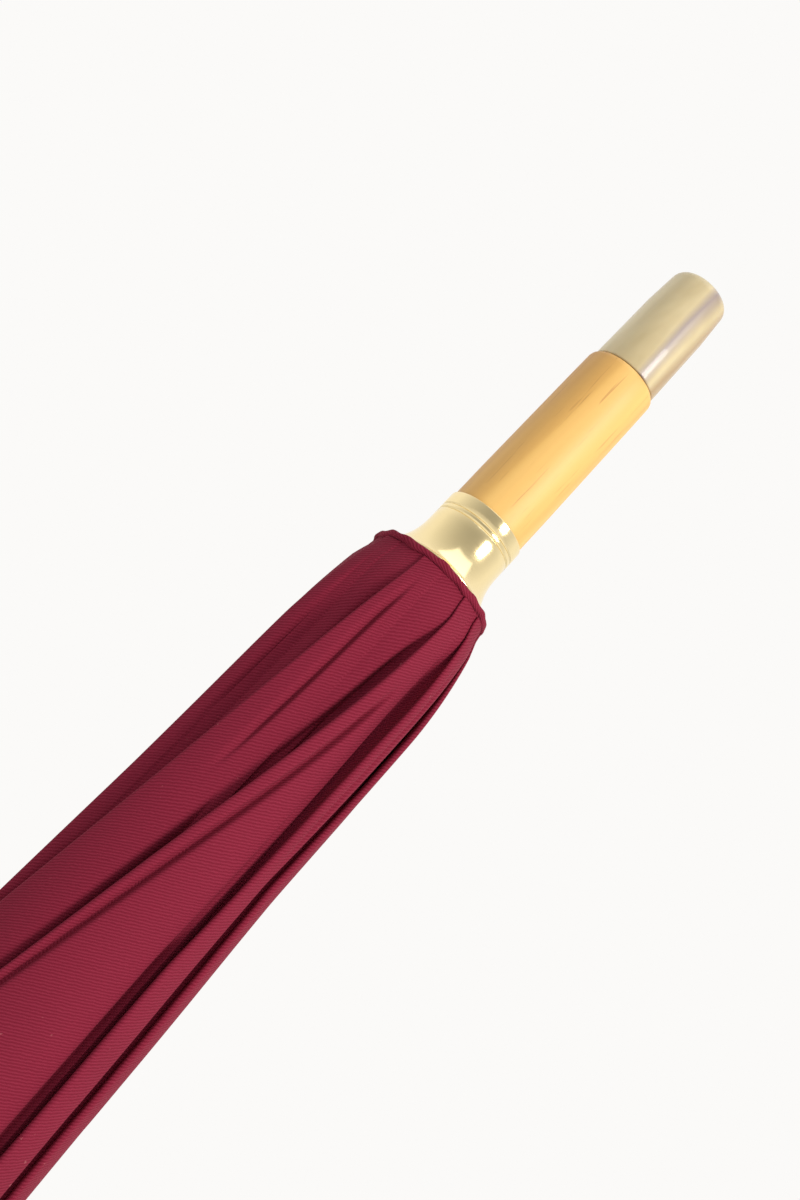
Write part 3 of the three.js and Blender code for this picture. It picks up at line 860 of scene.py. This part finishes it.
def make_gore(number, pleat, beyond, material):
    """One of the eight, from its own rib to the next. Its hem rises between the ribs."""
    rows = gore_rows()
    azimuth = FIRST_RIB + (number - 1) * SPACING
    points, weights, places = [], [], []
    for down in rows:
        section = Section(pleat, beyond, down)
        weight, along = weights_along(*section.points())
        angles, radii = section.points(weight)
        rise = HEM_RISE * HEM * np.sin(np.pi * weight) * smoothstep(down, 0.35 * HEM, HEM)
        radii = radii + [visible_radius(down - lift) - visible_radius(down) for lift in rise]
        x, y = radii * np.cos(azimuth + angles), radii * np.sin(azimuth + angles)
        points.append(np.stack([x, y, CROWN - (down - rise)], 1))
        weights.append(weight)
        places.append(np.stack([along - 0.5 * along[-1], np.full_like(along, down)], 1))
    faces = grid_faces(len(rows), len(weights[0]))
    gore = new_object(f"canopy_gore_{number}", np.concatenate(points).tolist(), faces, material)
    lay_cloth(gore, np.concatenate(places))
    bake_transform(gore)
    weight = np.concatenate(weights).astype(np.float32)
    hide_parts(f"gore_{number}")


def rosette_ring(angle, inner, outer, middle, around):
    """The gathered edge cut across at one angle: a flat roll with small uneven puckers."""
    fold = sum(math.sin(k * angle + 1.3 * k) / k**0.5 for k in (5, 9, 14, 23)) / 4
    reach = outer + 0.30 * MM * fold
    lift = 0.22 * MM * math.sin(7 * angle) + 0.16 * MM * math.sin(19 * angle + 1)
    half = (0.85 + 0.12 * math.sin(11 * angle)) * MM
    ring = []
    for k in range(around):
        turn = 2 * math.pi * k / around
        flat = math.copysign(abs(math.cos(turn)) ** 0.45, math.cos(turn))
        height = math.copysign(abs(math.sin(turn)) ** 0.7, math.sin(turn))
        radius = inner + (reach - inner) * (0.5 + 0.5 * flat)
        ring.append((radius, middle + lift * max(math.cos(turn), 0) + half * height))
    return ring


def make_rosette(material):
    """The gathered edge of the canopy round the stick, with its skirt over the notch."""
    segments, around = 288, 14
    inner = STICK_RADIUS + 1.0 * MM
    outer = ROSETTE_HIGH.x - 0.45 * MM
    middle = 0.5 * (ROSETTE_LOW.z + ROSETTE_HIGH.z)
    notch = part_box("notch")[1]
    skirt_end = notch.z - 3 * MM
    skirt = [(notch.x + 0.1 * MM, middle), (notch.x + 0.1 * MM, skirt_end)]
    skirt += [(notch.x + 0.35 * MM, skirt_end), (notch.x + 0.35 * MM, middle)]
    vertices, places = [], []
    for i in range(segments):
        angle = 2 * math.pi * i / segments
        for radius, height in rosette_ring(angle, inner, outer, middle, around) + skirt:
            vertices.append((radius * math.cos(angle), radius * math.sin(angle), height))
            places.append((angle * outer, height + radius))
    stride = around + len(skirt)
    faces = []
    for i in range(segments):
        here, there = i * stride, (i + 1) % segments * stride
        for start, count in ((0, around), (around, len(skirt))):
            for k in range(count):
                a, b = start + k, start + (k + 1) % count
                faces.append((here + a, there + a, there + b, here + b))
    rosette = new_object("crown_rosette", vertices, faces, material)
    lay_cloth(rosette, places)
    stand_in(rosette, "rosette")


def turned_edge(inwards, middle, width):
    """How many times thicker the strap is, where its edge is turned in."""
    return 1 + 0.35 * math.exp(-(((inwards - middle) / width) ** 2))


def make_strap(material):
    """The tie strap: a double strip of the same cloth, lying along its pleat."""
    low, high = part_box("tie_strap")
    half = 0.5 * (high.y - low.y)
    thin = 0.5 * MM
    turns = np.linspace(-1.57, 1.57, 21)
    upper = [(half * math.sin(turn), thin * math.sqrt(math.cos(turn))) for turn in turns]
    section = upper + [(y, -out) for y, out in reversed(upper[1:-1])]
    rows = np.linspace(CROWN - high.z, CROWN - low.z, 60)
    vertices, places = [], []
    for down in rows:
        hem = turned_edge(min(down - rows[0], rows[-1] - down), 2 * MM, 1.2 * MM)
        ease = 0.25 * MM * math.sin(down / 0.011)
        middle = visible_radius(down) + 0.34 * LAYER_STEP + 1.0 * MM + ease
        for y, out in section:
            radius = middle + out * hem * turned_edge(half - abs(y), 1.4 * MM, 0.8 * MM)
            angle = FIRST_RIB + y / middle
            vertices.append((radius * math.cos(angle), radius * math.sin(angle), CROWN - down))
            places.append((y, down))
    faces = grid_faces(len(rows), len(section), closed_columns=True)
    faces += end_faces(len(section), len(vertices))
    strap = new_object("tie_strap_cloth", vertices, faces, material)
    lay_cloth(strap, places)
    stand_in(strap, "tie_strap")


# ---------------------------------------------------------------- the CAD pieces that stay


def soften(node):
    """Smooth shading over a CAD piece's facets; its points stay where they are."""
    mesh = node.data
    if mesh.has_custom_normals:
        mesh.attributes.remove(mesh.attributes["custom_normal"])
    for name in ("sharp_edge", "sharp_face"):
        if name in mesh.attributes:
            mesh.attributes.remove(mesh.attributes[name])
    mesh.polygons.foreach_set("use_smooth", [True] * len(mesh.polygons))
    weld = node.modifiers.new("weld", "WELD")
    weld.merge_threshold = 1e-6
    split = node.modifiers.new("edges", "EDGE_SPLIT")
    split.split_angle = math.radians(32)


def dress_cad_nodes(materials):
    slots = {part["node"]: part["material_slot"] for part in frame["record"]["subparts"]}
    for name, node in frame["nodes"].items():
        node.data.materials.clear()
        node.data.materials.append(materials[slots[name]])
        soften(node)


def main():
    place_camera()
    light_scene()
    make_world()
    make_floor()
    materials = {
        "wood": wood_material(),
        "horn": horn_material(),
        "brass": brass_material(),
        "steel": steel_material("bright_steel", (0.55, 0.55, 0.56), 0.32, 1.0),
        "dark_steel": steel_material("black_steel", (0.035, 0.035, 0.04), 0.42, 0.6),
        "canopy_cloth": twill_material(),
    }
    dress_cad_nodes(materials)
    make_stick(materials["wood"])
    make_ferrule(materials["horn"])
    make_handle(materials["wood"])
    make_cap(materials["brass"])
    make_collar(materials["brass"])
    make_rosette(materials["canopy_cloth"])
    for number, pleat in enumerate(PLEATS, 1):
        make_gore(number, pleat, PLEATS[number % RIBS], materials["canopy_cloth"])
    make_strap(materials["canopy_cloth"])


main()
